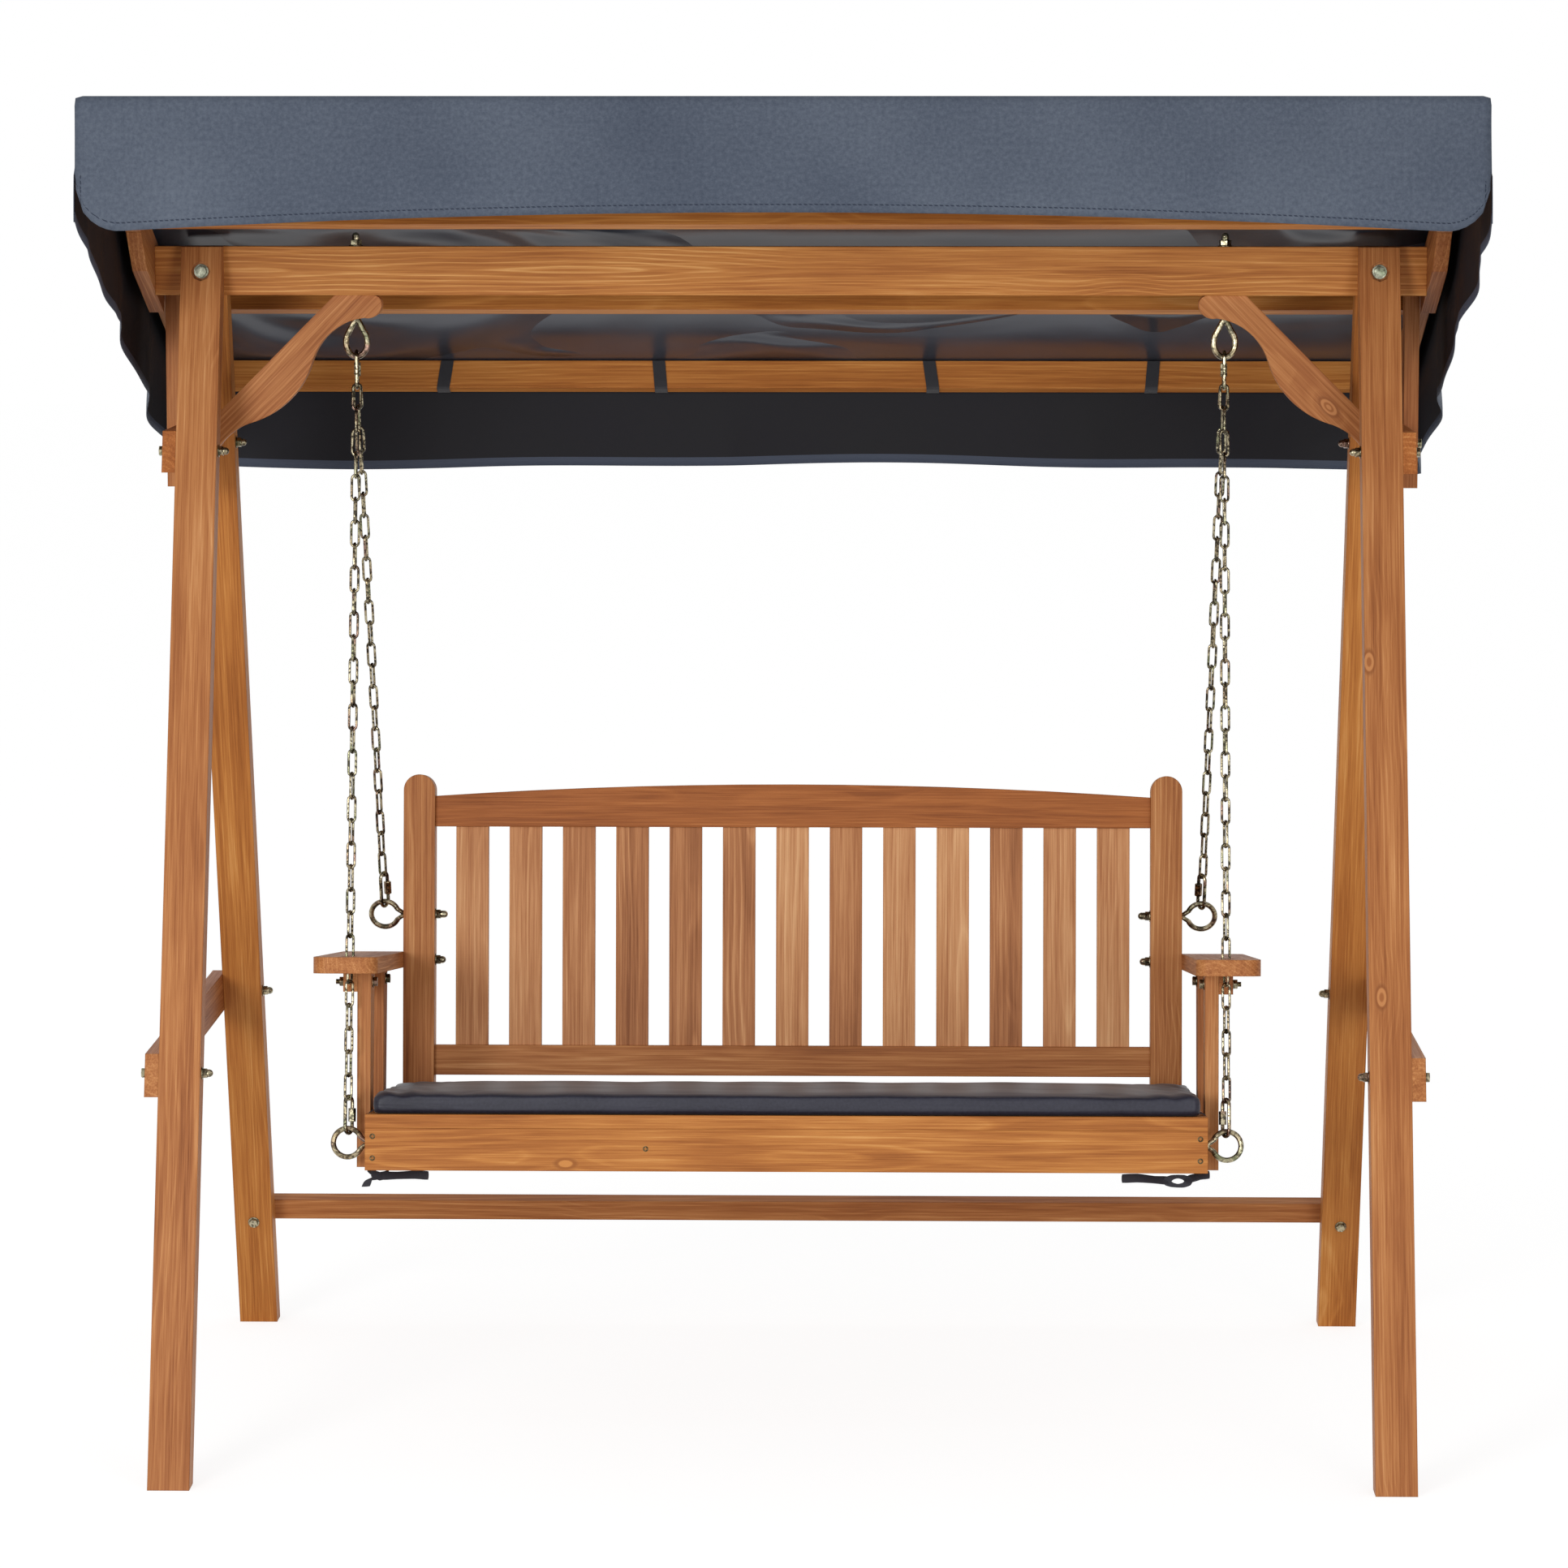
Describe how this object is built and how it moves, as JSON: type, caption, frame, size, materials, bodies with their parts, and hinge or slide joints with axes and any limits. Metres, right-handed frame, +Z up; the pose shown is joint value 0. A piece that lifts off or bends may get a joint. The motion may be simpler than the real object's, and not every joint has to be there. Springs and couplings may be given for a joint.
{
  "type": "garden swing",
  "caption": "Timber canopy garden swing: A-frame legs and a top beam with curved braces carry a slatted, cushioned bench on chains under a pitched cloth roof.",
  "frame": {"origin": "on the floor under the middle of the top beam, at the centre of the four feet", "axes": "+Z up, +X along the top beam to the right as seen from the front, +Y from the open front to the backrest"},
  "size_m": [1.9718, 1.2, 1.9695],
  "materials": {
    "timber": "satin stain",
    "zinc_steel": "yellow zinc",
    "canopy_cloth": "coated woven",
    "cushion_cloth": "woven",
    "webbing": "matte"
  },
  "bodies": {
    "frame": {"canopy_cleats": "timber", "canopy_front_valance": "canopy_cloth", "canopy_post_bolts": "zinc_steel", "canopy_post_left": "timber", "canopy_post_right": "timber", "canopy_rail_front": "timber", "canopy_rail_rear": "timber", "canopy_rail_second": "timber", "canopy_rail_third": "timber", "canopy_rear_valance": "canopy_cloth", "canopy_side_rail_left": "timber", "canopy_side_rail_right": "timber", "canopy_side_valance_left": "canopy_cloth", "canopy_side_valance_right": "canopy_cloth", "canopy_straps": "webbing", "canopy_top_panel": "canopy_cloth", "corner_brace_left": "timber", "corner_brace_right": "timber", "crosspiece_bolts": "zinc_steel", "front_leg_left": "timber", "front_leg_right": "timber", "hanger_eyebolts": "zinc_steel", "hanger_nuts": "zinc_steel", "leg_top_bolts": "zinc_steel", "lower_crosspiece_left": "timber", "lower_crosspiece_right": "timber", "rear_leg_left": "timber", "rear_leg_right": "timber", "rear_stretcher": "timber", "stretcher_bolts": "zinc_steel", "top_beam": "timber", "upper_crosspiece_left": "timber", "upper_crosspiece_right": "timber"},
    "bench": {"arm_bolts": "zinc_steel", "arm_cleats": "timber", "arm_posts": "timber", "armrest_left": "timber", "armrest_right": "timber", "back_bottom_rail": "timber", "back_eyebolts": "zinc_steel", "back_post_left": "timber", "back_post_right": "timber", "back_slats": "timber", "back_top_rail": "timber", "cushion_ties": "webbing", "eyebolt_nuts": "zinc_steel", "front_chain_left": "zinc_steel", "front_chain_right": "zinc_steel", "lower_quick_links": "zinc_steel", "rear_chain_left": "zinc_steel", "rear_chain_right": "zinc_steel", "seat_apron": "timber", "seat_bearers": "timber", "seat_cushion": "cushion_cloth", "seat_eyebolts": "zinc_steel", "seat_rear_rail": "timber", "seat_side_rail_left": "timber", "seat_side_rail_right": "timber", "seat_slats": "timber", "top_quick_links": "zinc_steel"}
  },
  "joints": [
    {"name": "swing", "type": "hinge", "parent": "frame", "child": "bench", "pos_m": [0, 0, 1.5815], "axis": [1, 0, 0], "range_deg": [-25, 25]}
  ]
}
